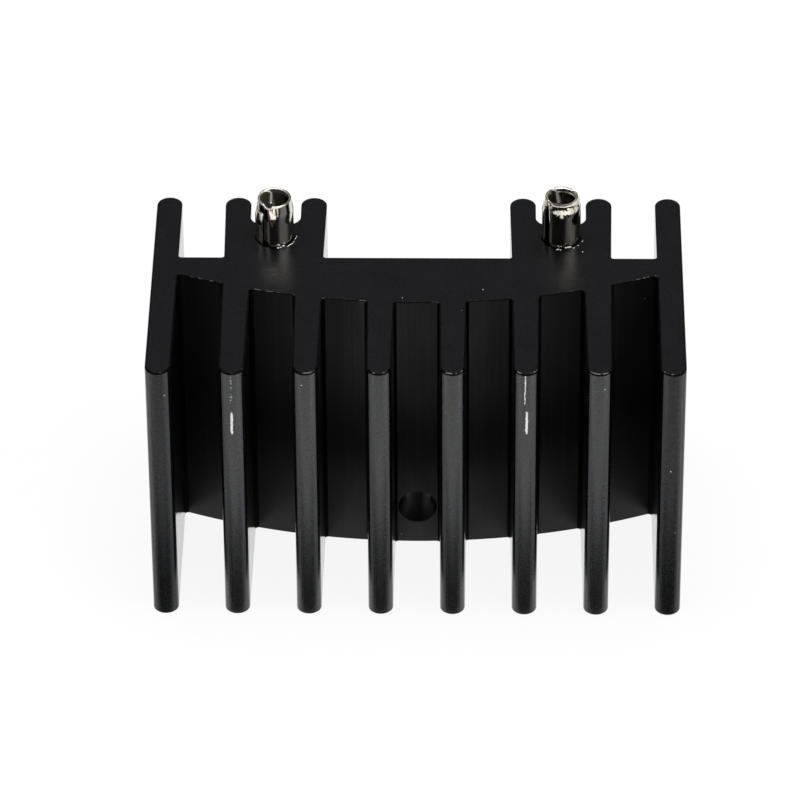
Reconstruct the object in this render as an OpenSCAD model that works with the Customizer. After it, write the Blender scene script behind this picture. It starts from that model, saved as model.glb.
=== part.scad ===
// Board heat sink for one power transistor: a straight-finned extrusion,
// cut to length, with two coiled solder pins pressed into its upper end.
// X runs along the row of fins, Y from the front fin tips towards the
// transistor side, and Z along the extrusion, towards the solder pins.
// The origin is the middle of the lower end.

/* [Extrusion] */
// Cut length of the extrusion
cut_len = 25.4; // [14:0.1:60]
// Number of front fins, counting the two outer walls
front_fins = 8; // [8:2:12]
// Distance from one front fin to the next
fin_pitch = 6.06; // [5.6:0.02:7]
// Thickness of an inner front fin at its tip
fin_tip_t = 2.1; // [1.4:0.05:2.6]
// Thickness of an inner front fin where it meets the web
fin_root_t = 2.3; // [1.6:0.05:3]
// Thickness of the two outer walls
outer_fin_t = 2.15; // [1.4:0.05:2.6]
// Distance from the front fin tips to the transistor face
face_depth = 16.4; // [13:0.1:24]
// Thickness of the web in the middle, behind the transistor
web_t = 6.4; // [4:0.1:9]
// Thickness of the web where it meets the outer walls
web_edge_t = 2.4; // [1.6:0.1:3.2]
// Radius in the narrow inside corners of the section
root_r = 0.3; // [0.15:0.05:0.6]

/* [Transistor side] */
// Length of the back fins, from the transistor face to their tips
back_fin_len = 8.75; // [7:0.05:14]
// Thickness of an inner back fin at the transistor face
back_root_t = 2.06; // [1.4:0.02:2.6]
// Thickness of an inner back fin at its tip
back_tip_t = 2.2; // [1.4:0.05:2.6]
// Height of a pin boss above the transistor face
boss_h = 4.85; // [4.6:0.05:6]
// Width of the pocket between the two fins beside a pin boss
pocket_w = 4.24; // [3.6:0.02:5]
// Radius in the pocket's inside corners
pocket_r = 1.1; // [0.3:0.05:1.7]
// Diameter of the transistor's screw hole
screw_hole_d = 3.3; // [2.5:0.1:3.6]
// Height of the screw hole above the lower end
screw_hole_z = 3.8; // [2.5:0.1:10]

/* [Solder pins] */
// Distance between the two solder pins
pin_spacing = 24.24; // [22:0.02:26]
// Distance from the transistor face to the pins' axes
pin_setback = 3; // [2.2:0.05:3]
// Diameter of a pin where it stands free
pin_d = 3.25; // [2.6:0.01:3.4]
// How much the bore squeezes a pin's diameter
pin_squeeze = 0.32; // [0.1:0.01:0.4]
// Height of a pin above the upper end
pin_proud = 4.25; // [3:0.05:8]
// Length of a pin inside the extrusion
pin_seat_len = 8; // [4:0.1:12]
// Depth that the drilled bore runs on below a pin
bore_spare = 0.4; // [0.1:0.1:1]
// Width of the chamfer round the mouth of a pin's bore
bore_chamfer = 0.2; // [0.05:0.05:0.3]
// Thickness of the strip that a pin is coiled from
strip_t = 0.2; // [0.12:0.01:0.26]
// Clear gap between overlapping turns of the strip
turn_gap = 0.03; // [0.02:0.01:0.08]
// Angle over which the strip steps from the outer turn to the inner one
step_deg = 26; // [18:1:40]
// Radius of the strip's hooked tail, on its middle line
tail_r = 0.5; // [0.35:0.01:0.6]
// Angle of the hooked tail
tail_deg = 137; // [90:1:180]
// Length of the straight end of the tail
tail_run = 1.2; // [0.2:0.05:1.3]
// Height of the tapered lead-in at a pin's free end
lead_h = 0.6; // [0.3:0.05:1.5]
// How far the lead-in draws the strip inwards
lead_in = 0.15; // [0.04:0.01:0.2]
// Height of the clipped corner at the strip's outer edge
clip_h = 1.3; // [0.5:0.05:2.5]
// Width of the clipped corner, straight across
clip_run = 1.2; // [0.4:0.05:1.3]
// Direction that the left pin's outer edge faces
left_seam_deg = 238; // [0:1:360]
// Angle that the left pin's inner turn follows the outer one
left_lap_deg = 100; // [60:1:140]
// Direction that the right pin's outer edge faces
right_seam_deg = 207; // [0:1:360]
// Angle that the right pin's inner turn follows the outer one
right_lap_deg = 70; // [60:1:140]

/* [Hidden] */
$fn = 96;
bow_fn = 360;

anodised = [0.11, 0.11, 0.12];
tinned = [0.80, 0.79, 0.76];

sink_depth = face_depth + back_fin_len;
tip_y = -sink_depth / 2;
face_y = tip_y + face_depth;

// Outer walls: their middle lines lie on the front fins' pitch.
outer_x = (front_fins - 1) / 2 * fin_pitch;
half_w = outer_x + outer_fin_t / 2;
outer_inside_x = half_w - outer_fin_t;

// The web's front is an arc through its middle and edge thicknesses.
web_front_y = face_y - web_t;
bow = web_t - web_edge_t;
bow_r = (outer_inside_x * outer_inside_x + bow * bow) / (2 * bow);
bow_y = web_front_y + bow_r;

// The inner front fins taper evenly over the depth of the web's middle.
fin_taper = (fin_root_t - fin_tip_t) / 2 / (web_front_y - tip_y);

// Fillet circles reach this far into the walls that they join.
bite = 0.01;
// Overlap of pieces of one section, and spare length of a cut.
weld = 0.5;

// A pin is squeezed in its bore, flares in the bore's chamfered mouth
// and stands free from there to its lead-in.
pin_y = face_y + pin_setback;
free_r = pin_d / 2;
bore_r = (pin_d - pin_squeeze) / 2;
pin_base_z = cut_len - pin_seat_len;
mouth_z = cut_len - bore_chamfer;
pin_top_z = cut_len + pin_proud;
bore_tip_deg = 118;

// The outer turn stops short of the strip's outer edge by the step and a
// slit between the two.
slit_deg = 5;
open_deg = step_deg + slit_deg;
// The step starts this far inside the outer turn.
overlap_deg = 8;

// Numbers of short straight parts in the strip's step, lap and tail, and
// in the edge of a sector.
step_parts = 6;
lap_parts = 10;
hook_parts = 12;
sector_parts = 4;

pocket_floor_y = face_y + boss_h;

// ---- Section of the extrusion ----

// Half the thickness of an inner front fin at y.
function fin_half_t(y) = fin_tip_t / 2 + fin_taper * (y - tip_y);

// Centre of the fillet between the web's arc and the front fin at fin_x,
// on its left side (side = -1) or its right side (side = 1).
function arc_fillet_centre(fin_x, side, slope, half_t0) =
    let (
        reach = root_r - bite,
        a = fin_x + side * (half_t0 - slope * tip_y + reach * sqrt(1 + slope * slope)),
        b = side * slope,
        p = a * b - bow_y,
        q = 1 + b * b,
        cy = (-p - sqrt(p * p - q * (a * a + bow_y * bow_y - pow(bow_r + reach, 2)))) / q
    )
    [a + b * cy, cy];

// A fin of the given root and tip thickness with a full round tip. It
// stands on y = 0 and grows towards -Y; lean moves its root sideways.
module fin(root_t, tip_t, len, lean = 0) {
    straight = len - tip_t / 2;
    polygon([
        [lean - root_t / 2, 0],
        [-tip_t / 2, -straight],
        [tip_t / 2, -straight],
        [lean + root_t / 2, 0]
    ]);
    translate([0, -straight]) circle(d = tip_t);
}

// Filling of an inside corner between two walls, which the unit vectors
// wall_a and wall_b point into. Its free face is the fillet's circle.
module corner_fill(centre, wall_a, wall_b) {
    far = root_r + weld;
    anticlockwise = cross(wall_a, wall_b) > 0;
    difference() {
        polygon([
            centre,
            centre + far * (anticlockwise ? wall_a : wall_b),
            centre + far * (wall_a + wall_b),
            centre + far * (anticlockwise ? wall_b : wall_a)
        ]);
        translate(centre) circle(r = root_r);
    }
}

// The same between a front fin's side and the web's arc.
module arc_fill(fin_x, side, slope, half_t0) {
    centre = arc_fillet_centre(fin_x, side, slope, half_t0);
    to_bow = [0, bow_y] - centre;
    corner_fill(centre, [-side, 0], to_bow / norm(to_bow));
}

// The same between a back fin's side and the transistor face.
module face_fill(wall_x, side) {
    reach = root_r - bite;
    corner_fill([wall_x + side * reach, face_y + reach], [-side, 0], [0, -1]);
}

module front_fins() {
    root_y = face_y - weld;
    for (i = [1 : front_fins - 2]) {
        x = i * fin_pitch - outer_x;
        translate([x, root_y]) fin(2 * fin_half_t(root_y), fin_tip_t, root_y - tip_y);
        for (side = [-1, 1])
            arc_fill(x, side, fin_taper, fin_tip_t / 2);
    }
}

module outer_walls() {
    for (side = [-1, 1]) {
        x = side * outer_x;
        translate([x, 0])
            for (turn = [0, 180])
                rotate(turn) fin(outer_fin_t, outer_fin_t, sink_depth / 2);
        arc_fill(x, -side, 0, outer_fin_t / 2);
        face_fill(side * outer_inside_x, -side);
    }
}

module web() {
    intersection() {
        translate([-outer_x, tip_y]) square([2 * outer_x, face_y - tip_y]);
        translate([0, bow_y]) circle(r = bow_r, $fn = bow_fn);
    }
}

// Two back fins with the pin boss between them, centred on x = 0.
module pin_boss() {
    half_pocket = pocket_w / 2;
    flat = half_pocket - pocket_r;
    for (side = [-1, 1]) {
        translate([side * (half_pocket + back_tip_t / 2), face_y])
            rotate(180) fin(back_root_t, back_tip_t, back_fin_len, side * (back_tip_t - back_root_t) / 2);
        face_fill(side * (half_pocket + back_root_t), side);
    }
    difference() {
        translate([-half_pocket - weld, face_y - weld])
            square([pocket_w + 2 * weld, boss_h + pocket_r + weld]);
        translate([-flat, pocket_floor_y]) square([2 * flat, 2 * pocket_r]);
        translate([-half_pocket, pocket_floor_y + pocket_r]) square([pocket_w, pocket_r]);
        for (side = [-1, 1])
            translate([side * flat, pocket_floor_y + pocket_r]) circle(r = pocket_r);
    }
}

module sink_section() {
    web();
    front_fins();
    outer_walls();
    for (side = [-1, 1])
        translate([side * pin_spacing / 2, 0]) pin_boss();
}

// A drilled blind bore from z = 0 down, with the drill's cone at its
// bottom and a chamfered mouth.
module drilled_bore(r, depth) {
    cone_h = r / tan(bore_tip_deg / 2);
    translate([0, 0, -depth]) cylinder(h = depth + weld, r = r);
    translate([0, 0, -depth - cone_h]) cylinder(h = cone_h, r1 = 0, r2 = r);
    translate([0, 0, -bore_chamfer]) cylinder(h = bore_chamfer, r1 = r, r2 = r + bore_chamfer);
}

module heat_sink() {
    color(anodised)
    difference() {
        linear_extrude(cut_len) sink_section();
        translate([0, face_y + weld, screw_hole_z])
            rotate([90, 0, 0]) cylinder(h = web_t + 2 * weld, d = screw_hole_d);
        for (side = [-1, 1])
            translate([side * pin_spacing / 2, pin_y, cut_len])
                drilled_bore(bore_r, pin_seat_len + bore_spare);
    }
}

// ---- Solder pins ----
// A pin's strip is coiled clockwise, from its outer edge at seam_deg
// inwards: an outer turn, a step inwards, a lap and a hooked tail.

function polar(r, a) = [r * cos(a), r * sin(a)];

// A smooth rise from 0 to 1.
function ease(f) = (1 - cos(180 * f)) / 2;

// The middle line of the strip from the end of the outer turn inwards.
function inner_path(r, start_deg, lap_deg) =
    let (
        outer_r = r - strip_t / 2,
        inner_r = outer_r - strip_t - turn_gap,
        lap_end = start_deg - step_deg - lap_deg,
        hook = polar(inner_r - tail_r, lap_end),
        tail_end = lap_end - tail_deg,
        last = hook + polar(tail_r, tail_end)
    )
    concat(
        [polar(outer_r, start_deg + overlap_deg)],
        [for (i = [0 : step_parts])
            polar(outer_r - (strip_t + turn_gap) * ease(i / step_parts), start_deg - step_deg * i / step_parts)],
        [for (i = [1 : lap_parts])
            polar(inner_r, start_deg - step_deg - lap_deg * i / lap_parts)],
        [for (i = [1 : hook_parts])
            hook + polar(tail_r, lap_end - tail_deg * i / hook_parts)],
        [last + tail_run * [sin(tail_end), -cos(tail_end)]]
    );

// The left-hand normal of a path at its point i.
function path_normal(path, i) =
    let (
        along = path[min(i + 1, len(path) - 1)] - path[max(i - 1, 0)]
    )
    [-along[1], along[0]] / norm(along);

// A strip of thickness t along a path.
module ribbon(path, t) {
    last = len(path) - 1;
    polygon(concat(
        [for (i = [0 : last]) path[i] + path_normal(path, i) * t / 2],
        [for (i = [last : -1 : 0]) path[i] - path_normal(path, i) * t / 2]
    ));
}

// The sector from 0 to sweep degrees, larger than anything in a pin.
module sector(sweep) {
    polygon(concat(
        [[0, 0]],
        [for (i = [0 : sector_parts]) polar(4 * pin_d, sweep * i / sector_parts)]
    ));
}

// The outer turn, from the outer edge at seam_deg round to the step,
// without the strip's clipped corner.
module outer_turn(seam_deg) {
    half_slit = free_r * tan(slit_deg / 2);
    lead_z = pin_top_z - lead_h;
    difference() {
        rotate_extrude()
            polygon([
                [bore_r - strip_t, pin_base_z],
                [bore_r, pin_base_z],
                [bore_r, mouth_z],
                [free_r, cut_len],
                [free_r, lead_z],
                [free_r - lead_in, pin_top_z],
                [free_r - lead_in - strip_t, pin_top_z],
                [free_r - strip_t, lead_z],
                [free_r - strip_t, cut_len],
                [bore_r - strip_t, mouth_z]
            ]);
        translate([0, 0, pin_base_z - weld])
            linear_extrude(pin_top_z - pin_base_z + 2 * weld)
                rotate(seam_deg) sector(open_deg);
        translate([0, 0, pin_top_z])
            rotate([90, 0, seam_deg + 90])
                linear_extrude(2 * free_r)
                    polygon([
                        [half_slit, weld],
                        [-clip_run, weld],
                        [-clip_run, 0],
                        [0, -clip_h],
                        [half_slit, -clip_h]
                    ]);
    }
}

// The step, lap and tail, squeezed in the bore and free above it.
module inner_strip(seam_deg, lap_deg) {
    start_deg = seam_deg + open_deg;
    ribbon_t = strip_t - 2 * bite;
    translate([0, 0, pin_base_z])
        linear_extrude(pin_seat_len) ribbon(inner_path(bore_r, start_deg, lap_deg), ribbon_t);
    translate([0, 0, cut_len])
        linear_extrude(pin_proud) ribbon(inner_path(free_r, start_deg, lap_deg), ribbon_t);
}

// What stands outside the lead-in's cone.
module lead_in_cut() {
    translate([0, 0, pin_top_z - lead_h])
        difference() {
            cylinder(h = lead_h + weld, r = 2 * free_r);
            cylinder(h = lead_h, r1 = free_r, r2 = free_r - lead_in);
        }
}

module solder_pin(seam_deg, lap_deg) {
    color(tinned) {
        outer_turn(seam_deg);
        difference() {
            inner_strip(seam_deg, lap_deg);
            lead_in_cut();
        }
    }
}

module solder_pin_left() {
    translate([-pin_spacing / 2, pin_y, 0]) solder_pin(left_seam_deg, left_lap_deg);
}

module solder_pin_right() {
    translate([pin_spacing / 2, pin_y, 0]) solder_pin(right_seam_deg, right_lap_deg);
}

heat_sink();
solder_pin_left();
solder_pin_right();
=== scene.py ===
"""Board heat sink for one power transistor, with two coiled solder pins.

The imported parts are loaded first. Each operator then makes one group of
pieces, and the last one makes the stage.
"""

import math

import bpy
from bpy.props import (
    FloatProperty,
    FloatVectorProperty,
    IntProperty,
    PointerProperty,
)
from mathutils import Matrix, Vector


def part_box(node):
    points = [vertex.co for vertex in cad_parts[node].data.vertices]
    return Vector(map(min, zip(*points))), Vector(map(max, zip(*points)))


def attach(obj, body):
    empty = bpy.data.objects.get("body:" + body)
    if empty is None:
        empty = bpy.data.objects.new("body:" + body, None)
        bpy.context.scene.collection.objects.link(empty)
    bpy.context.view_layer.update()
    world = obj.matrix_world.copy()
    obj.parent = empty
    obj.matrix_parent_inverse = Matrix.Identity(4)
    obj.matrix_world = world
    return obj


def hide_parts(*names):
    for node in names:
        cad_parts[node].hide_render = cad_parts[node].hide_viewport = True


bl_info = {
    "name": "Board Heat Sink",
    "version": (1, 0, 0),
    "blender": (4, 5, 0),
    "location": "3D View > Sidebar > Heat Sink",
    "description": "Dresses a black anodised board heat sink and its two coiled solder pins",
    "category": "Add Mesh",
}

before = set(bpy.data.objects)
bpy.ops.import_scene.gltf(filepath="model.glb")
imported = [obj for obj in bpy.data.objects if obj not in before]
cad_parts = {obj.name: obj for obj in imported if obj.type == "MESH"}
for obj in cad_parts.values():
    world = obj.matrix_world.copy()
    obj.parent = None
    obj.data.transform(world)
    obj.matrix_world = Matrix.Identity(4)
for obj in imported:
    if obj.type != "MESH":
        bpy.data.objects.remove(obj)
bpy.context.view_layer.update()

MM = 0.001
BODY = "root"
SINK_LOW, SINK_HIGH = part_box("heat_sink")
TIP_Y = SINK_LOW.y
LEFT_LOW, LEFT_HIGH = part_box("solder_pin_left")
RIGHT_LOW, RIGHT_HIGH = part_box("solder_pin_right")
CUT_LEN = SINK_HIGH.z
SEED = 0.001 * MM  # size of a plane that is merged to one vertex


# ---- Shader maths ----


class Value:
    """A socket of a material's node tree, with maths."""

    def __init__(self, paint, socket):
        self.paint = paint
        self.socket = socket

    def maths(self, operation, *values):
        return self.paint.maths(operation, *values)

    def __add__(self, other):
        return self.maths("ADD", self, other)

    def __radd__(self, other):
        return self.maths("ADD", other, self)

    def __sub__(self, other):
        return self.maths("SUBTRACT", self, other)

    def __rsub__(self, other):
        return self.maths("SUBTRACT", other, self)

    def __mul__(self, other):
        return self.maths("MULTIPLY", self, other)

    def __rmul__(self, other):
        return self.maths("MULTIPLY", other, self)

    def __truediv__(self, other):
        return self.maths("DIVIDE", self, other)

    def __gt__(self, other):
        return self.maths("GREATER_THAN", self, other)

    def __lt__(self, other):
        return self.maths("LESS_THAN", self, other)

    def __abs__(self):
        return self.maths("ABSOLUTE", self)


class Paint:
    """The node tree of a material or of the world, built node by node."""

    def __init__(self, owner):
        self.owner = owner
        owner.use_nodes = True
        self.tree = owner.node_tree
        self.tree.nodes.clear()

    def node(self, kind, settings=None, *values, output=0, **named):
        """Adds a node with its settings, then its sockets' values or links, by
        order or by name. Returns one of its outputs."""
        made = self.tree.nodes.new(kind)
        for key, value in (settings or {}).items():
            if key == "stops":
                ramp = made.color_ramp.elements
                while len(ramp) < len(value):
                    ramp.new(1)
                for stop, (place, shade) in zip(ramp, value):
                    stop.position = place
                    stop.color = (shade, shade, shade, 1)
            else:
                setattr(made, key, value)
        sockets = [s for s in made.inputs if s.enabled]
        pairs = list(zip(sockets, values)) + [
            (next(s for s in sockets if s.name == key.replace("_", " ")), value)
            for key, value in named.items()
        ]
        for socket, value in pairs:
            if isinstance(value, Value):
                self.tree.links.new(value.socket, socket)
            else:
                socket.default_value = value
        return Value(self, made.outputs[output]) if made.outputs else None

    def outputs(self, kind, names, *values):
        """Several outputs of one new node."""
        made = self.node(kind, {}, *values).socket.node
        return [Value(self, made.outputs[name]) for name in names]

    def maths(self, operation, *values):
        return self.node("ShaderNodeMath", {"operation": operation}, *values)

    def place(self, scale=(1, 1, 1), shift=(0, 0, 0)):
        """Object coordinates in millimetres, shifted and then stretched."""
        where = self.node("ShaderNodeTexCoord", output="Object")
        return self.node(
            "ShaderNodeMapping",
            {"vector_type": "POINT"},
            Vector=where,
            Location=[-s * k for s, k in zip(shift, scale)],
            Scale=[k / MM for k in scale],
        )

    def axes(self, middle=(0, 0, 0)):
        """X, Y and Z of the object coordinates from a middle, in millimetres."""
        return self.outputs("ShaderNodeSeparateXYZ", "XYZ", self.place(shift=middle))

    def noise(self, vector, scale=1.0, detail=2.0, rough=0.5):
        return self.node(
            "ShaderNodeTexNoise",
            {"noise_dimensions": "3D"},
            Vector=vector,
            Scale=scale,
            Detail=detail,
            Roughness=rough,
        )

    def cells(self, vector, scale):
        """Distance to the nearest of many scattered points."""
        return self.node(
            "ShaderNodeTexVoronoi",
            {"voronoi_dimensions": "3D", "feature": "F1"},
            Vector=vector,
            Scale=scale,
        )

    def ramp(self, value, stops):
        return self.node("ShaderNodeValToRGB", {"stops": stops}, value)

    def spread(self, value, low, high, to_low=0.0, to_high=1.0):
        """Maps low..high to to_low..to_high, and holds it there outside."""
        return self.node(
            "ShaderNodeMapRange",
            {"clamp": True, "interpolation_type": "SMOOTHSTEP"},
            value,
            low,
            high,
            to_low,
            to_high,
        )

    def mix(self, share, first, second):
        """A mix of two colours."""
        colours = [v if isinstance(v, Value) else (*v, 1) for v in (first, second)]
        return self.node("ShaderNodeMix", {"data_type": "RGBA"}, share, *colours, output=2)

    def bump(self, height, strength, distance_mm):
        return self.node(
            "ShaderNodeBump", {}, Strength=strength, Distance=distance_mm * MM, Height=height
        )

    def finish(self, **sockets):
        """Closes a material with a Principled shader."""
        surface = self.node("ShaderNodeBsdfPrincipled", {}, **sockets)
        self.node("ShaderNodeOutputMaterial", {}, Surface=surface)
        return self.owner


# ---- Finishes ----

# Rubbed streaks down the fin tips: x, lower end, upper end and half width in
# millimetres, then how sparse the rubbed dots are.
STREAKS = (
    (-15.2, 18.8, 21.8, 0.20, 0.50),
    (-15.2, 21.0, 26.4, 0.55, 1.14),
    (9.15, 18.9, 22.0, 0.20, 0.55),
    (9.0, 21.6, 26.0, 0.14, 0.80),
)
STREAK_DEPTH = 0.35  # how far back from the tips a streak reaches, mm
STREAK_SWAY = 0.15  # how far a streak wanders sideways, mm
FIN_PITCH = 6.06  # distance from one front fin to the next, mm
TIP_HALF = 0.83  # half the width of a tip that takes frost and painted sheen, mm


def scratch(paint, x, low, high, width, level):
    """Mask of one rubbed streak."""
    across, depth, up = paint.axes()
    crumbs = paint.noise(
        paint.place((1, 1, 0.5), (0, 0, 2 * x)), scale=11.0, detail=3.0, rough=0.7
    )
    sway = paint.noise(paint.place((0.2, 0.2, 1), (x, 0, 0)), scale=1.3, detail=1.0) - 0.5
    along = 1 - abs((up - (low + high) / 2) / ((high - low) / 2))
    beside = 1 - abs((across - x + sway * STREAK_SWAY) / width)
    body = paint.spread(along, 0.0, 0.5) * paint.spread(beside, 0.0, 1.0)
    dots = (body + (crumbs - 0.5) * 1.6) > level
    return dots * (body > 0.02) * (depth < TIP_Y / MM + STREAK_DEPTH)


def frost_with_painted_sheen(paint, black, grain, shades, frost_and_sheen):
    """Pale grain on a fin's tip, and a painted sheen: paler towards the sides, less near the lower
    end.
    """
    crumbs = (paint.cells(paint.place((1, 1, 1), (7, 3, 5)), 1.5) < 0.05) * frost_and_sheen * 2
    across, _, up = paint.axes()
    beside = abs(paint.maths("FLOORED_MODULO", across, FIN_PITCH) - FIN_PITCH / 2)
    # Painted shade: the pale colour fades towards the lower end of the tip.
    lift = paint.spread(up, 2.0, 14.0, 0.6, 1.05) * (beside < TIP_HALF)
    # Painted sheen: paler towards the sides of each tip, over its pale grain.
    pale = paint.spread(grain, 0.36, 0.66) * 0.8 + paint.spread(beside, 0.35, 0.8) * 2.2
    return paint.mix(pale * lift * frost_and_sheen * 0.4 + crumbs, black, shades.frost_and_sheen)


def drawn_wall(name, shades, gloss, rough, drawn, frost_and_sheen=0.0):
    """Black anodised surface as it comes from the die, with fine lines along
    the extrusion. Gloss is its IOR, rough its roughness, drawn its anisotropy
    and the last argument how strongly pale grain and a painted sheen show."""
    paint = Paint(bpy.data.materials.new(name))
    lines = paint.noise(paint.place((1, 1, 0.012)), scale=4.5, detail=4.0, rough=0.7)
    grain = paint.noise(paint.place(), scale=5.5, detail=4.0, rough=0.75)
    patches = paint.noise(paint.place((1, 1, 0.35)), scale=0.5, detail=2.0)
    drags = paint.noise(
        paint.place((1, 1, 0.006), (3, 9, 1)), scale=2.6, detail=5.0, rough=0.8
    )
    black = paint.mix(paint.spread(drags, 0.45, 0.75), shades.black_deep, shades.black_lit)
    bare = paint.cells(paint.place(), 0.42) < 0.022
    if frost_and_sheen:
        for streak in STREAKS:
            bare = paint.maths("MAXIMUM", bare, scratch(paint, *streak))
        # Fin tips get pale grain with a painted sheen, lighter towards their sides and upper ends.
        black = frost_with_painted_sheen(paint, black, grain, shades, frost_and_sheen)
    # A wall seen at a grazing angle is glossier.
    facing = paint.node("ShaderNodeLayerWeight", {}, Blend=0.5, output="Facing")
    haze = paint.spread(grain * 0.5 + patches * 0.5, 0.3, 0.7, rough * 0.85, rough * 1.15)
    haze = haze * paint.spread(facing, 0.80, 0.95, 1.0, 0.25)
    return paint.finish(
        Base_Color=paint.mix(bare, black, shades.bare_metal),
        Roughness=haze,
        Normal=paint.bump(lines * 0.6 + grain * 0.4, strength=0.4, distance_mm=0.03),
        Metallic=bare * 0.6,
        Anisotropic=drawn,
        IOR=gloss,
    )


def sawn_end(shades):
    """Black anodised end, sawn and then blasted smooth."""
    paint = Paint(bpy.data.materials.new("sawn_end"))
    grain = paint.noise(paint.place(), scale=7.0, detail=4.0, rough=0.6)
    clouds = paint.noise(paint.place(), scale=0.35, detail=3.0)
    dots = paint.cells(paint.place(), 0.5) < 0.03
    shade = paint.spread(grain * 0.4 + clouds * 0.6, 0.35, 0.65)
    black = paint.mix(shade, shades.sawn_deep, shades.sawn_lit)
    return paint.finish(
        Base_Color=paint.mix(dots * 0.6, black, shades.bare_metal),
        Roughness=paint.spread(grain, 0.3, 0.7, 0.27, 0.36),
        Normal=paint.bump(grain, strength=0.2, distance_mm=0.03),
        Metallic=0.0,
        IOR=1.45,
    )


def rubbed_edge(shades):
    """Cut edge: dark and glossy, and pale grey in patches where its round faces up and to the
    front.
    """
    paint = Paint(bpy.data.materials.new("rubbed_edge"))
    wear = paint.noise(paint.place(), scale=2.2, detail=4.0, rough=0.7)
    runs = paint.noise(paint.place(), scale=0.45, detail=2.0)
    normal = paint.node("ShaderNodeTexCoord", output="Normal")
    forward, upward = paint.outputs("ShaderNodeSeparateXYZ", "YZ", normal)
    # Pale grey only in patches where the round faces up and to the front.
    patches = paint.spread(wear * 0.6 + runs * 0.4, 0.53, 0.60)
    on_top = paint.spread(upward, 0.7, 0.85)
    in_front = paint.spread(forward, -0.3, -0.1, 1.0, 0.0)
    return paint.finish(
        Base_Color=paint.mix(patches * on_top * in_front, shades.black_deep, shades.edge_grey),
        Roughness=paint.spread(wear, 0.3, 0.7, 0.25, 0.4),
        Normal=paint.bump(wear, strength=0.5, distance_mm=0.03),
        IOR=1.12,
    )


def bruise_mask(paint, centre, top):
    """Mask of the bruise under the left pin's rim, and the depth below the rim.
    Its sides slant and its edges are ragged."""
    across, depth, up = paint.axes([c / MM for c in (centre.x, centre.y, top)])
    down = 0 - up
    ragged = (paint.noise(paint.place(), scale=3.5, detail=2.0) - 0.5) * 0.3
    left = paint.spread(across + ragged + 0.54 - down * 0.19, 0.0, 0.06)
    right = paint.spread(0.72 - down * 0.44 - across + ragged, 0.0, 0.06)
    below = paint.spread(down + ragged - 0.2 - (across + 0.35) * 1.07, 0.0, 0.10)
    return left * right * below * paint.spread(down, 0.08, 0.14) * (depth < 0), down


def tinned_strip(side, centre, top, shades):
    """Bright tin over brass strip. The left pin's front has a bruise under its
    rim, and the right pin's tin is painted darker, as painted shade that dims its reflections."""
    paint = Paint(bpy.data.materials.new(f"tinned_strip_{side}"))
    flow = paint.noise(paint.place((1, 1, 0.2)), scale=1.6, detail=3.0)
    grain = paint.noise(paint.place(), scale=9.0, detail=3.0)
    height = (flow * 0.8 + grain * 0.2) * 0.018
    # Painted shade: the right pin gets a darker copy of the tin, which dims its reflections.
    if side == "right":
        tin = paint.mix(paint.spread(flow, 0.35, 0.6), shades.tin_shaded, shades.tin_warm)
    else:
        tin = paint.mix(paint.spread(flow, 0.35, 0.7), shades.tin_bright, shades.tin_warm)
        bruise, down = bruise_mask(paint, centre, top)
        height = height + bruise * (down * 0.1 + paint.spread(down, 1.0, 2.2) * 0.25)
        tin = paint.mix(bruise * 0.7, tin, shades.tin_copper)
    x, y, _ = paint.axes((centre.x / MM, centre.y / MM, 0))
    inside = paint.spread((x * x + y * y), 1.30 * 1.30, 1.38 * 1.38, 1.0, 0.0)
    return paint.finish(
        Base_Color=tin,
        Roughness=paint.spread(grain * 0.5 + flow * 0.5, 0.3, 0.7, 0.05, 0.11) + inside * 0.3,
        Metallic=1.0,
        Normal=paint.bump(height, strength=1.0, distance_mm=1.0),
    )


def raw_burr(shades):
    """Bright aluminium, torn by the drill."""
    paint = Paint(bpy.data.materials.new("raw_burr"))
    torn = paint.noise(paint.place(), scale=6.0, detail=3.0)
    return paint.finish(
        Base_Color=paint.mix(torn, shades.bare_metal, shades.tin_bright),
        Roughness=paint.spread(torn, 0.3, 0.7, 0.2, 0.4),
        Metallic=1.0,
        Normal=paint.bump(torn, strength=1.0, distance_mm=0.1),
    )


# ---- Modelling helpers ----


def deselect_all():
    if bpy.context.object and bpy.context.object.mode != "OBJECT":
        bpy.ops.object.mode_set(mode="OBJECT")
    bpy.ops.object.select_all(action="DESELECT")


def pick(piece):
    """Makes a piece the only selected and active one."""
    deselect_all()
    piece.select_set(True)
    bpy.context.view_layer.objects.active = piece


def apply_modifier(piece, kind, **settings):
    pick(piece)
    modifier = piece.modifiers.new(kind.title(), kind)
    for key, value in settings.items():
        setattr(modifier, key, value)
    bpy.ops.object.modifier_apply(modifier=modifier.name)


def shade_smooth(piece, degrees):
    pick(piece)
    bpy.ops.object.shade_smooth_by_angle(angle=math.radians(degrees))


def settle(piece, slot=None, *nodes):
    """Puts a finished piece's place in its mesh and lets it ride with the part."""
    pick(piece)
    bpy.ops.object.transform_apply(location=True, rotation=True, scale=True)
    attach(piece, BODY)
    if nodes:
        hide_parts(*nodes)


def polar(radius, angle):
    return Vector((radius * math.cos(angle), radius * math.sin(angle), 0))


def start_vertex(place):
    """A new piece of a single vertex, left in edit mode with the vertex selected."""
    deselect_all()
    bpy.ops.mesh.primitive_plane_add(size=SEED, location=place)
    piece = bpy.context.object
    bpy.ops.object.transform_apply(location=True, rotation=True, scale=True)
    bpy.ops.object.mode_set(mode="EDIT")
    bpy.ops.mesh.merge(type="CENTER")
    return piece


def pull(move):
    """Extrudes what is selected."""
    bpy.ops.mesh.extrude_region_move(TRANSFORM_OT_translate={"value": move})


def spin(pivot, angle, steps):
    """Spins what is selected clockwise, as seen from above."""
    bpy.ops.mesh.spin(steps=steps, angle=angle, center=pivot, axis=(0, 0, 1))


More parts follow.
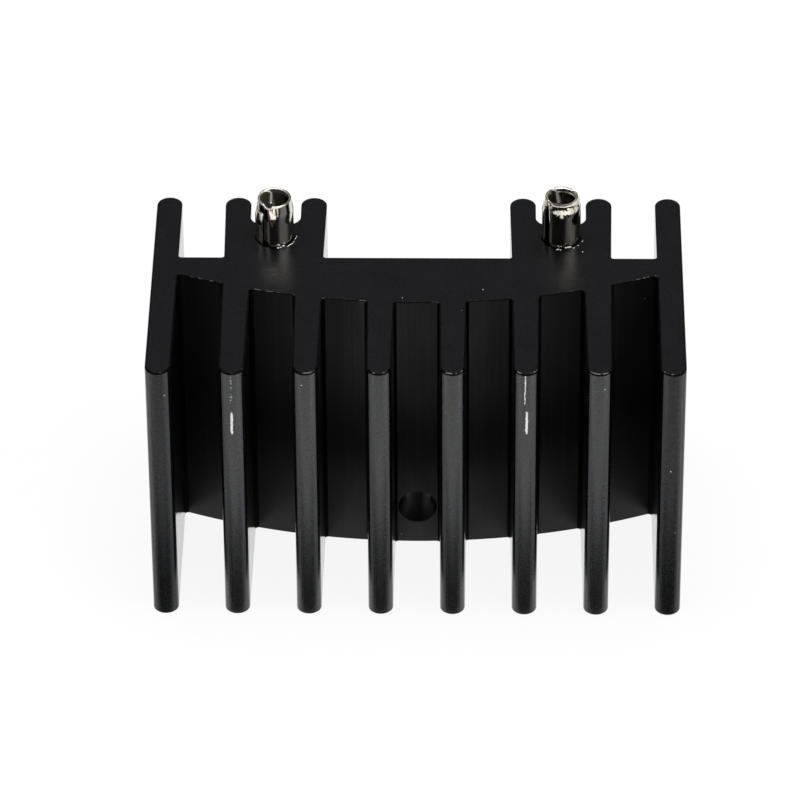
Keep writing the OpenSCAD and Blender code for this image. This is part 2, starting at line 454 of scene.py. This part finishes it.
def choose(piece, chosen):
    """Selects the chosen vertices and goes to edit mode."""
    for vertex, wanted in zip(piece.data.vertices, chosen):
        vertex.select = wanted
    bpy.ops.object.mode_set(mode="EDIT")


def let_go():
    bpy.ops.mesh.select_all(action="DESELECT")
    bpy.ops.object.mode_set(mode="OBJECT")


def nudge(piece, chosen, move):
    """Moves the chosen vertices."""
    choose(piece, chosen)
    bpy.ops.transform.translate(value=move)
    let_go()


def resize(piece, chosen, factors, pivot):
    """Scales the chosen vertices about a point."""
    choose(piece, chosen)
    bpy.ops.transform.resize(value=factors, center_override=pivot)
    let_go()


# ---- Sizes and colours ----


def length_setting(name, text, mm, **more):
    """A length setting, given in millimetres."""
    return FloatProperty(name=name, description=text, default=mm * MM, unit="LENGTH", **more)


def angle_setting(name, text, degrees):
    """An angle setting, given in degrees."""
    return FloatProperty(
        name=name, description=text, default=math.radians(degrees), subtype="ANGLE"
    )


def colour(name, text, default):
    return FloatVectorProperty(
        name=name, description=text, default=default, subtype="COLOR", size=3, min=0, max=1
    )


class SinkSizes(bpy.types.PropertyGroup):
    edge_break: length_setting(
        "Edge Break", "Width of the worn round on the sawn edges", 0.18, precision=5
    )
    edge_rings: IntProperty(
        name="Edge Rings", description="Rows of faces across the worn round", default=3, min=1
    )


class PinSizes(bpy.types.PropertyGroup):
    spacing: length_setting("Spacing", "Distance between the two pins' axes", 24.24)
    row_y: length_setting("Row", "Y of the pins' axes", 6.825)
    diameter: length_setting("Diameter", "Outside diameter where the pin stands free", 3.25)
    squeeze: length_setting("Squeeze", "How much the bore squeezes the diameter", 0.32)
    strip: length_setting("Strip", "Thickness of the strip", 0.2)
    gap: length_setting("Turn Gap", "Gap between overlapping turns", 0.03)
    step: angle_setting("Step", "Angle over which the strip steps inwards", 26)
    slit: angle_setting("Slit", "Angle between the outer edge and the step", 5)
    tail_radius: length_setting("Tail Radius", "Radius of the hooked tail", 0.5)
    tail_angle: angle_setting("Tail Angle", "Angle of the hooked tail", 137)
    tail_run: length_setting("Tail Run", "Length of the straight end of the tail", 1.2)


def rim_settings(seam, lap, short, lead_height, lead_in, groove, clip, flap, nick, step_cut):
    """Settings of one pin's seam and worn rim, in degrees and millimetres."""
    return {
        "seam": angle_setting("Seam", "Direction of the strip's outer edge", seam),
        "lap": angle_setting("Lap", "Angle that the inner turn runs", lap),
        "short": length_setting("Short", "How far the worn rim stays under the full height", short),
        "lead_height": length_setting("Lead-in Height", "Height of the tapered end", lead_height),
        "lead_in": length_setting("Lead-in", "How far the end is drawn inwards", lead_in),
        "groove": length_setting("Groove", "Depth of the groove round the lead-in", groove),
        "clip": length_setting("Clip", "Height of the clipped corner at the outer edge", clip),
        "flap": length_setting("Flap", "How far the outer edge stands off", flap),
        "nick": length_setting("Nick", "Depth of the nick in the rim", nick),
        "step_cut": length_setting(
            "Step Cut", "How far the rim is cut down over the step", step_cut
        ),
    }


class LeftPin(bpy.types.PropertyGroup):
    __annotations__ = rim_settings(
        seam=232,
        lap=100,
        short=0.2,
        lead_height=1.1,
        lead_in=0.165,
        groove=0.0,
        clip=0.97,
        flap=0.03,
        nick=0.0,
        step_cut=0.22,
    )


class RightPin(bpy.types.PropertyGroup):
    __annotations__ = rim_settings(
        seam=207,
        lap=70,
        short=0.0,
        lead_height=0.95,
        lead_in=0.25,
        groove=0.05,
        clip=0.25,
        flap=0.13,
        nick=0.16,
        step_cut=0.05,
    )


class Finishes(bpy.types.PropertyGroup):
    black_deep: colour(
        "Deep Black", "Anodised wall in the hollows of its grain", (0.0010, 0.0010, 0.0010)
    )
    black_lit: colour("Lit Black", "Anodised wall on its grain", (0.0110, 0.0112, 0.0115))
    sawn_deep: colour(
        "Sawn Deep", "Anodised end in the hollows of its grain", (0.0008, 0.0010, 0.0018)
    )
    sawn_lit: colour("Sawn Lit", "Anodised end on its grain", (0.0018, 0.0020, 0.0032))
    # Pale grain of the fin tips, also used as a painted sheen that is lighter towards the tips'
    # sides and upper ends.
    frost_and_sheen: colour("Frost", "Pale grain of the fin tips", (0.075, 0.080, 0.088))
    # Pale grey put in patches where the cut edges' rounds face up and to the front.
    edge_grey: colour("Burr", "Dulled burr along the cut edges", (0.16, 0.16, 0.16))
    bare_metal: colour("Bare Metal", "Aluminium where the anodising is gone", (0.62, 0.62, 0.62))
    tin_bright: colour("Bright Tin", "Tinned strip", (0.68, 0.67, 0.63))
    # Painted shade: a darker copy of the tin, which dims the right pin's reflections.
    tin_shaded: colour("Dull Tin", "Tin rubbed dull on the right strip", (0.40, 0.39, 0.34))
    tin_warm: colour("Warm Tin", "Tinned strip where the brass shows through", (0.70, 0.66, 0.58))
    tin_copper: colour(
        "Copper Tin", "Tinned strip where the copper flash shows through", (0.80, 0.62, 0.52)
    )


class StageSizes(bpy.types.PropertyGroup):
    floor_radius: FloatProperty(
        name="Floor Radius", description="Radius of the flat floor", default=1.1, unit="LENGTH"
    )
    lens: FloatProperty(name="Lens", description="Focal length in millimetres", default=267.6)
    aim: FloatVectorProperty(
        name="Aim",
        description="Point that the camera looks at",
        default=(-1.4989 * MM, 0.2555 * MM, 13.0732 * MM),
        subtype="XYZ",
        precision=6,
    )
    distance: length_setting(
        "Distance", "Distance from the camera to the point it looks at", 505.376
    )
    elevation: angle_setting("Elevation", "Height of the camera above the horizon", 37.0166)
    swing: angle_setting("Swing", "Turn of the camera round the part, to the right", 0.9908)
    roll: angle_setting("Roll", "Roll of the camera", -0.3896)


# ---- Heat sink ----

# Material slots of the extrusion.
PLAIN_WALL, SAWN_END, RUBBED_EDGE, GAP_WALL, OUTER_TIP, FIN_TIP, GAP_ROOT = range(7)
TIP_DEPTH = 1.0 * MM  # how far back a fin's tip reaches
OUTER_FIN = 2.2 * MM  # strip at each side that holds an outer fin
SIDE_WALL = 1.0 * MM  # strip at each side that holds an outer wall's outside
GAP_END_Y = 1.6 * MM  # where the gaps between the front fins end
ROOT_FACET = 0.06 * MM  # widest facet of a root round between two fins
HOLE_HALF = 1.7 * MM  # half width of the strip that holds the screw hole
END_MARGIN = 1.1  # margin inside a flat end, in widths of the worn round
FLAT = 0.99  # how upright the normal of an end's face is, at least


def on_end(face, level):
    return abs(face.normal.z) > FLAT and abs(face.center.z - level) < 0.01 * MM


def face_end(piece, level, margin):
    """Gives a flat end a margin of even width, and fills what is inside it afresh."""
    bpy.ops.object.mode_set(mode="EDIT")
    bpy.ops.mesh.select_all(action="DESELECT")
    bpy.ops.object.mode_set(mode="OBJECT")
    for face in piece.data.polygons:
        face.select = on_end(face, level)
    bpy.ops.object.mode_set(mode="EDIT")
    bpy.ops.mesh.inset(thickness=margin, depth=0, use_boundary=True, use_even_offset=True)
    bpy.ops.mesh.delete(type="FACE")
    bpy.ops.mesh.select_mode(type="EDGE")
    bpy.ops.mesh.select_all(action="DESELECT")
    bpy.ops.mesh.select_non_manifold(
        extend=False,
        use_wire=False,
        use_boundary=True,
        use_multi_face=False,
        use_non_contiguous=False,
        use_verts=False,
    )
    bpy.ops.mesh.fill(use_beauty=True)
    bpy.ops.mesh.select_mode(type="VERT")
    bpy.ops.mesh.select_all(action="SELECT")
    bpy.ops.mesh.normals_make_consistent(inside=False)
    bpy.ops.mesh.select_all(action="DESELECT")
    bpy.ops.object.mode_set(mode="OBJECT")


def wall_slot(face):
    """Material slot of a wall: a tip, a gap between front fins, its root or plain wall."""
    place = face.center
    if place.y < TIP_Y + TIP_DEPTH:
        return OUTER_TIP if abs(place.x) > SINK_HIGH.x - OUTER_FIN else FIN_TIP
    if place.y > GAP_END_Y or abs(place.x) > SINK_HIGH.x - SIDE_WALL:
        return PLAIN_WALL
    root = face.area < ROOT_FACET * CUT_LEN and abs(place.x) > HOLE_HALF
    return GAP_ROOT if root else GAP_WALL


def edge_wear(place):
    """Share of the full worn round: all of it at the fin tips, little of it round the pins."""
    if place.y < TIP_Y + 1.2 * MM:
        return 1.0
    pin = (LEFT_LOW + LEFT_HIGH) / 2
    beside_pin = math.hypot(abs(place.x) - abs(pin.x), place.y - pin.y)
    return 0.15 if beside_pin < 2.0 * MM else 0.45


class HEATSINK_OT_extrusion(bpy.types.Operator):
    """Dresses the extrusion: worn round sawn edges and anodised finishes"""

    bl_idname = "heatsink.extrusion"
    bl_label = "Extrusion"
    bl_options = {"REGISTER", "UNDO"}

    def execute(self, context):
        sizes = context.scene.heatsink_sizes
        shades = context.scene.heatsink_finishes
        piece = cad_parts["heat_sink"].copy()
        piece.data = piece.data.copy()
        piece.name = "anodised_extrusion"
        for key in list(piece.keys()):
            del piece[key]
        piece.parent = None
        context.scene.collection.objects.link(piece)
        piece.data.materials.clear()
        for finish in (
            drawn_wall("drawn_wall", shades, gloss=1.5, rough=0.31, drawn=0.3),
            sawn_end(shades),
            rubbed_edge(shades),
            drawn_wall("gap_wall", shades, gloss=1.33, rough=0.37, drawn=0.82),
            drawn_wall("outer_tip", shades, gloss=1.29, rough=0.25, drawn=0.3, frost_and_sheen=0.8),
            drawn_wall("fin_tip", shades, gloss=1.46, rough=0.25, drawn=0.3, frost_and_sheen=1.0),
            drawn_wall("gap_root", shades, gloss=1.1, rough=0.5, drawn=0.9),
        ):
            piece.data.materials.append(finish)
        pick(piece)
        bpy.ops.mesh.customdata_custom_splitnormals_clear()
        bpy.ops.object.mode_set(mode="EDIT")
        bpy.ops.mesh.select_all(action="SELECT")
        bpy.ops.mesh.remove_doubles(threshold=0.001 * MM)
        let_go()
        mesh = piece.data
        for face in mesh.polygons:
            face.select = abs(face.normal.z) < FLAT
        bpy.ops.object.mode_set(mode="EDIT")
        bpy.ops.mesh.dissolve_limited(angle_limit=math.radians(0.5))
        for level in (0.0, CUT_LEN):
            face_end(piece, level, sizes.edge_break * END_MARGIN)
        ends = {}
        for face in mesh.polygons:
            flat = on_end(face, 0.0) or on_end(face, CUT_LEN)
            face.material_index = SAWN_END if flat else wall_slot(face)
            for key in face.edge_keys:
                ends.setdefault(key, []).append(flat)
        weights = mesh.attributes.new("bevel_weight_edge", "FLOAT", "EDGE")
        for edge in mesh.edges:
            flats = ends[edge.key]
            first, last = (mesh.vertices[n].co for n in edge.vertices)
            at_rim = True in flats and False in flats
            wear = edge_wear((first + last) / 2) if at_rim else 0.0
            weights.data[edge.index].value = wear
        apply_modifier(
            piece,
            "BEVEL",
            limit_method="WEIGHT",
            width=sizes.edge_break,
            segments=sizes.edge_rings,
            material=RUBBED_EDGE,
            use_clamp_overlap=False,
        )
        shade_smooth(piece, 40)
        apply_modifier(piece, "WEIGHTED_NORMAL", keep_sharp=True)
        settle(piece, "black_anodised", "heat_sink")
        return {"FINISHED"}


# ---- Solder pins ----

# Rows and columns of faces in a coiled pin.
FREE_ROWS = 6
LEAD_ROWS = 6
TURN_COLUMNS = 72
STEP_COLUMNS = 8
LAP_COLUMNS = 18
HOOK_COLUMNS = 16
RUN_COLUMNS = 4
FLARE = 0.2 * MM  # height over which the strip springs out of its bore
LOOSE = 1.0 * MM  # height above the end at which the outer edge stands off in full


def lead_profile(pin, free, top):
    """Radius and height of the strip's middle line up its tapered end."""
    low = top - pin.lead_height
    rows = [
        (free - pin.lead_in * i / LEAD_ROWS, low + pin.lead_height * i / LEAD_ROWS)
        for i in range(1, LEAD_ROWS + 1)
    ]
    if pin.groove:
        rows.insert(3, (rows[2][0] - pin.groove, rows[2][1] + pin.groove))
        rows.insert(4, (rows[2][0], rows[2][1] + 2 * pin.groove))
    return rows


def coil_strip(name, centre, base, top, pins, pin):
    """Coils a strip clockwise from its outer edge: an outer turn, a step
    inwards, a lap and a hooked tail."""
    free = pins.diameter / 2 - pins.strip / 2
    held = free - pins.squeeze / 2
    opening = pins.step + pins.slit
    lead = top - pin.lead_height
    profile = [(held, base), (held, CUT_LEN - FLARE), (free, CUT_LEN)]
    profile += [
        (free, CUT_LEN + (lead - CUT_LEN) * i / FREE_ROWS) for i in range(1, FREE_ROWS + 1)
    ]
    profile += lead_profile(pin, free, top)

    # One vertical edge line at the seam, extruded up from a single vertex.
    here = profile[0]
    piece = start_vertex(centre + polar(here[0], pin.seam) + Vector((0, 0, base)))
    piece.name = name
    for point in profile[1:]:
        pull(polar(point[0] - here[0], pin.seam) + Vector((0, 0, point[1] - here[1])))
        here = point
    bpy.ops.mesh.select_all(action="SELECT")

    def count():
        bpy.ops.object.mode_set(mode="OBJECT")
        made = len(piece.data.vertices)
        bpy.ops.object.mode_set(mode="EDIT")
        return made

    spin(centre, 2 * math.pi - opening, TURN_COLUMNS)
    outer_turn = count()
    angle = pin.seam + opening
    drop = pins.strip + pins.gap
    radius = free
    steps = [outer_turn]
    for i in range(1, STEP_COLUMNS + 1):
        eased = free - drop * (1 - math.cos(math.pi * i / STEP_COLUMNS)) / 2
        turned = pin.seam + opening - pins.step * i / STEP_COLUMNS
        pull(polar(eased, turned) - polar(radius, angle))
        radius, angle = eased, turned
        steps.append(count())
    spin(centre, pin.lap, LAP_COLUMNS)
    angle -= pin.lap
    spin(centre + polar(radius - pins.tail_radius, angle), pins.tail_angle, HOOK_COLUMNS)
    angle -= pins.tail_angle
    for _ in range(RUN_COLUMNS):
        pull(Vector((math.sin(angle), -math.cos(angle), 0)) * pins.tail_run / RUN_COLUMNS)
    bpy.ops.object.mode_set(mode="OBJECT")

    # The inner turn stands straight, where the outer one is drawn in.
    columns = list(zip(steps, steps[1:] + [len(piece.data.vertices)]))
    for radius, height in lead_profile(pin, free, top):
        out = free - radius
        for i, (first, last) in enumerate(columns):
            share = min(1.0, (i + 1) / STEP_COLUMNS)
            chosen = [
                first <= n < last and abs(v.co.z - height) < 0.002 * MM
                for n, v in enumerate(piece.data.vertices)
            ]
            wider = 1 + out * share / radius
            resize(piece, chosen, (wider, wider, 1), centre)
    wear_rim(piece, centre, outer_turn, top, pins, pin)
    drop_step(piece, outer_turn, steps[-2], top, pin)
    bpy.ops.object.mode_set(mode="EDIT")
    bpy.ops.mesh.select_all(action="SELECT")
    bpy.ops.mesh.remove_doubles(threshold=0.0005 * MM)
    bpy.ops.mesh.normals_make_consistent(inside=False)
    bpy.ops.object.mode_set(mode="OBJECT")
    return piece


# Angles along the outer turn, clockwise from its edge, where the rim's wear is.
WORN_COLUMNS = 30  # columns from the edge that may be worn
FLAP_REACH = math.radians(42)
CLIP_REACH = math.radians(86)
CLIP_SLOPE = math.radians(24)
NICK_PLACE = math.radians(172)


def wear_rim(piece, centre, outer_turn, top, pins, pin):
    """Lets the outer edge stand off, clips its corner and nicks the rim."""
    places = [v.co.copy() for v in piece.data.vertices]
    circle = 2 * math.pi
    turns = [(pin.seam - math.atan2(p.y - centre.y, p.x - centre.x)) % circle for p in places]
    step = (circle - pins.step - pins.slit) / TURN_COLUMNS
    for column in range(WORN_COLUMNS):
        along = column * step
        near = [
            i < outer_turn and abs((turn + step / 2) % circle - step / 2 - along) < step / 4
            for i, turn in enumerate(turns)
        ]
        off = max(0.0, 1 - along / FLAP_REACH) ** 2 * pin.flap
        if off > 0.001 * MM:
            clear = CUT_LEN + 0.1 * MM
            for row in {round(p.z, 6) for p, hit in zip(places, near) if hit and p.z > clear}:
                lift = min(1.0, (row - CUT_LEN) / LOOSE)
                lift *= min(1.0, 0.25 + (top - row) / (1.1 * MM))
                chosen = [hit and abs(p.z - row) < 0.001 * MM for hit, p in zip(near, places)]
                nudge(piece, chosen, polar(off * lift, pin.seam - along))
        cut = pin.clip * min(1.0, max(0.0, (CLIP_REACH - along) / CLIP_SLOPE))
        if cut > 0.01 * MM:
            start = CUT_LEN + 0.4 * MM
            chosen = [hit and p.z > start for hit, p in zip(near, places)]
            squash(piece, chosen, start, top, cut)
    if pin.nick:
        nicked = [
            i < outer_turn and abs(turn - NICK_PLACE) < step and p.z > top - 0.01 * MM
            for i, (turn, p) in enumerate(zip(turns, places))
        ]
        nudge(piece, nicked, (0, 0, -pin.nick))


def drop_step(piece, first, last, top, pin):
    """Cuts the rim down over the step between the two turns."""
    start = top - 1.2 * MM
    chosen = [first <= n < last and v.co.z > start for n, v in enumerate(piece.data.vertices)]
    squash(piece, chosen, start, top, pin.step_cut)


def squash(piece, chosen, start, top, cut):
    """Lowers the rim by a cut, and what is above the start with it."""
    resize(piece, chosen, (1, 1, (top - cut - start) / (top - start)), (0, 0, start))


class HEATSINK_OT_pins(bpy.types.Operator):
    """Coils the two solder pins from tinned strip"""

    bl_idname = "heatsink.pins"
    bl_label = "Solder Pins"
    bl_options = {"REGISTER", "UNDO"}

    def execute(self, context):
        pins = context.scene.heatsink_pins
        shades = context.scene.heatsink_finishes
        for side, (low, high), pin, away in (
            ("left", (LEFT_LOW, LEFT_HIGH), context.scene.heatsink_left_pin, -0.5),
            ("right", (RIGHT_LOW, RIGHT_HIGH), context.scene.heatsink_right_pin, 0.5),
        ):
            centre = Vector((pins.spacing * away, pins.row_y, 0))
            top = high.z - pin.short
            piece = coil_strip(f"coiled_pin_{side}", centre, low.z, top, pins, pin)
            apply_modifier(
                piece, "SOLIDIFY", thickness=pins.strip, offset=0.0, use_even_offset=True
            )
            # The right strip's small step leaves slivers, out of which a full
            # round would shoot spikes, so there the round is held back.
            apply_modifier(
                piece,
                "BEVEL",
                limit_method="ANGLE",
                angle_limit=math.radians(65),
                width=0.075 * MM,
                segments=3,
                use_clamp_overlap=side == "right",
            )
            shade_smooth(piece, 50)
            piece.data.materials.append(tinned_strip(side, centre, top, shades))
            settle(piece, "tinned_strip", f"solder_pin_{side}")
        return {"FINISHED"}


# Bits of burr: start and end angle in degrees, then radius, height and outward
# lean in millimetres.
LEFT_BITS = (
    (278, 290, 1.70, 0.14, 0.14),
    (291, 300, 1.76, 0.24, 0.06),
    (303, 309, 1.80, 0.10, 0.12),
    (310, 334, 1.80, 0.10, 0.06),
    (335, 352, 1.80, 0.30, 0.10),
)
RIGHT_BITS = (
    (256, 270, 1.74, 0.06, 0.08),
    (279, 296, 1.76, 0.26, 0.10),
    (302, 305, 1.84, 0.06, 0.05),
    (317, 322, 1.84, 0.08, 0.05),
    (333, 341, 1.88, 0.22, 0.07),
    (309, 311, 2.75, 0.07, 0.04),
)
BIT_ROOT = 0.02 * MM  # how deep a bit stands in the end
BIT_THICKNESS = 0.07 * MM


def burr_bits(name, centre, bits):
    """Joins short curls of raised metal that stand round the mouth of a bore."""
    made = []
    for start, end, radius, height, lean in bits:
        angle = math.radians(start)
        foot = Vector((0, 0, CUT_LEN - BIT_ROOT))
        bit = start_vertex(centre + polar(radius * MM, angle) + foot)
        for part in (0.5, 0.5):
            pull(polar(lean * part * MM, angle) + Vector((0, 0, height * part * MM)))
        bpy.ops.mesh.select_all(action="SELECT")
        spin(centre, math.radians(start - end), 6)
        bpy.ops.mesh.select_all(action="SELECT")
        bpy.ops.mesh.normals_make_consistent(inside=False)
        bpy.ops.object.mode_set(mode="OBJECT")
        apply_modifier(bit, "SOLIDIFY", thickness=BIT_THICKNESS, offset=0.0)
        made.append(bit)
    deselect_all()
    for bit in made:
        bit.select_set(True)
    bpy.context.view_layer.objects.active = made[0]
    bpy.ops.object.join()
    made[0].name = name
    return made[0]


class HEATSINK_OT_burrs(bpy.types.Operator):
    """Raises the broken burrs round the mouths of the bores"""

    bl_idname = "heatsink.burrs"
    bl_label = "Bore Burrs"
    bl_options = {"REGISTER", "UNDO"}

    def execute(self, context):
        pins = context.scene.heatsink_pins
        metal = raw_burr(context.scene.heatsink_finishes)
        for side, away, bits in (("left", -0.5, LEFT_BITS), ("right", 0.5, RIGHT_BITS)):
            centre = Vector((pins.spacing * away, pins.row_y, 0))
            piece = burr_bits(f"bore_burr_{side}", centre, bits)
            piece.data.materials.append(metal)
            settle(piece)
        return {"FINISHED"}


# ---- Stage ----

PAPER = 0.89  # grey of the floor
# Stretch of floor in front of the part, as Y in millimetres, and how bright
# glossy rays see it along that stretch, before the gain: a painted shadow, darkest just in front of
# the part.
SHEEN_FROM, SHEEN_TO = -45.0, -12.0
SHEEN = (
    (0.0, 0.55),
    (0.26, 0.60),
    (0.42, 0.66),
    (0.50, 0.58),
    (0.58, 0.44),
    (0.66, 0.27),
    (0.74, 0.16),
    (0.82, 0.09),
    (0.90, 0.06),
    (0.96, 0.07),
    (1.0, 0.38),
)
SHEEN_GAIN = 2.6


def white_sweep():
    """Pale floor that keeps the part's shadow. Cameras see it as plain white.
    Glossy rays see it graded from front to back, with a painted shadow that is darkest just in
    front of the part."""
    paint = Paint(bpy.data.materials.new("white_sweep"))
    camera, glossy, clear = paint.outputs(
        "ShaderNodeLightPath", ("Is Camera Ray", "Is Glossy Ray", "Is Transmission Ray")
    )
    _, depth, _ = paint.axes()
    share = paint.node(
        "ShaderNodeMapRange", {"clamp": True}, depth, SHEEN_FROM, SHEEN_TO, 0.0, 1.0
    )
    strength = camera + (1 - camera) * paint.ramp(share, SHEEN) * SHEEN_GAIN
    paper = paint.node("ShaderNodeBsdfDiffuse", {}, Color=(PAPER, PAPER, PAPER, 1))
    plain = paint.node("ShaderNodeEmission", {}, Color=(1, 1, 1, 1), Strength=strength)
    seen = paint.maths("MINIMUM", camera + glossy + clear, 1.0)
    both = paint.node("ShaderNodeMixShader", {}, seen * (0.9 + 0.1 * glossy), paper, plain)
    paint.node("ShaderNodeOutputMaterial", {}, Surface=both)
    return paint.owner


def studio_sky(world):
    """Dim studio with a pale band on the far side of the part, from the horizon
    up to a quarter of the way overhead. Cameras see it as plain white."""
    paint = Paint(world)
    (camera,) = paint.outputs("ShaderNodeLightPath", ("Is Camera Ray",))
    where = paint.node("ShaderNodeTexCoord", output="Generated")
    depth, height = paint.outputs("ShaderNodeSeparateXYZ", "YZ", where)
    band = paint.node("ShaderNodeMapRange", {}, height, 0.25, 0.45, 0.8, 0.05)
    behind = paint.node("ShaderNodeMapRange", {}, depth, -0.5, 0.1, 0.05, 1.0)
    strength = paint.maths("MAXIMUM", band * behind, camera)
    sky = paint.node("ShaderNodeBackground", {}, Strength=strength)
    paint.node("ShaderNodeOutputWorld", {}, Surface=sky)


def area_light(name, place, size, watts):
    """A square soft box that faces the part."""
    data = bpy.data.lights.new(name, "AREA")
    data.shape = "SQUARE"
    data.size = size
    data.energy = watts
    lamp = bpy.data.objects.new(name, data)
    bpy.context.scene.collection.objects.link(lamp)
    lamp.location = place
    aim = Vector((0, 0, 0.012)) - lamp.location
    lamp.rotation_euler = aim.to_track_quat("-Z", "Y").to_euler()


class HEATSINK_OT_stage(bpy.types.Operator):
    """Makes the camera, the pale floor and the soft lights"""

    bl_idname = "heatsink.stage"
    bl_label = "Stage"
    bl_options = {"REGISTER", "UNDO"}

    def execute(self, context):
        scene = context.scene
        sizes = scene.heatsink_stage
        deselect_all()
        bpy.ops.mesh.primitive_circle_add(
            vertices=96, radius=sizes.floor_radius, fill_type="NGON", location=(0, 0, 0)
        )
        floor = context.object
        floor.name = "floor"
        floor.data.materials.append(white_sweep())

        scene.world = bpy.data.worlds.new("studio")
        studio_sky(scene.world)
        area_light("overhead_box", (0.0, 0.05, 0.9), size=0.7, watts=9.0)
        area_light("left_box", (-0.75, -0.1, 0.45), size=0.5, watts=1.0)
        area_light("right_box", (0.65, -0.38, 0.57), size=0.8, watts=3.6)

        data = bpy.data.cameras.new("camera")
        data.sensor_width = 36
        data.lens = sizes.lens
        data.clip_start = 0.01
        data.clip_end = 20
        camera = bpy.data.objects.new("camera", data)
        scene.collection.objects.link(camera)
        scene.camera = camera
        level = Vector((0, math.cos(sizes.elevation), -math.sin(sizes.elevation)))
        ahead = Matrix.Rotation(sizes.swing, 3, "Z") @ level
        right = ahead.cross(Vector((0, 0, 1))).normalized()
        up = right.cross(ahead)
        c, s = math.cos(sizes.roll), math.sin(sizes.roll)
        right, up = c * right + s * up, c * up - s * right
        turn = Matrix((right, up, -ahead)).transposed()
        place = Vector(sizes.aim) - ahead * sizes.distance
        camera.matrix_world = Matrix.Translation(place) @ turn.to_4x4()
        scene.view_settings.view_transform = "Standard"
        return {"FINISHED"}


class HEATSINK_PT_panel(bpy.types.Panel):
    """Sizes, colours and pieces of the heat sink"""

    bl_idname = "HEATSINK_PT_panel"
    bl_label = "Heat Sink"
    bl_space_type = "VIEW_3D"
    bl_region_type = "UI"
    bl_category = "Heat Sink"

    def draw(self, context):
        layout = self.layout
        for label, group, operators in PARTS:
            box = layout.box()
            box.label(text=label)
            settings = getattr(context.scene, group)
            for name in settings.bl_rna.properties.keys():
                if name not in {"rna_type", "name"}:
                    box.prop(settings, name)
            for idname in operators:
                box.operator(idname)


PARTS = (
    ("Extrusion", "heatsink_sizes", ("heatsink.extrusion",)),
    ("Solder Pins", "heatsink_pins", ("heatsink.pins", "heatsink.burrs")),
    ("Left Pin", "heatsink_left_pin", ()),
    ("Right Pin", "heatsink_right_pin", ()),
    ("Finishes", "heatsink_finishes", ()),
    ("Stage", "heatsink_stage", ("heatsink.stage",)),
)
GROUPS = {
    "heatsink_sizes": SinkSizes,
    "heatsink_pins": PinSizes,
    "heatsink_left_pin": LeftPin,
    "heatsink_right_pin": RightPin,
    "heatsink_finishes": Finishes,
    "heatsink_stage": StageSizes,
}
CLASSES = (
    *GROUPS.values(),
    HEATSINK_OT_extrusion,
    HEATSINK_OT_pins,
    HEATSINK_OT_burrs,
    HEATSINK_OT_stage,
    HEATSINK_PT_panel,
)


def register():
    for cls in CLASSES:
        bpy.utils.register_class(cls)
    for name, group in GROUPS.items():
        setattr(bpy.types.Scene, name, PointerProperty(type=group))


def unregister():
    for name in GROUPS:
        delattr(bpy.types.Scene, name)
    for cls in reversed(CLASSES):
        bpy.utils.unregister_class(cls)


def main():
    register()
    bpy.ops.heatsink.extrusion()
    bpy.ops.heatsink.pins()
    bpy.ops.heatsink.burrs()
    bpy.ops.heatsink.stage()


if __name__ == "__main__":
    main()
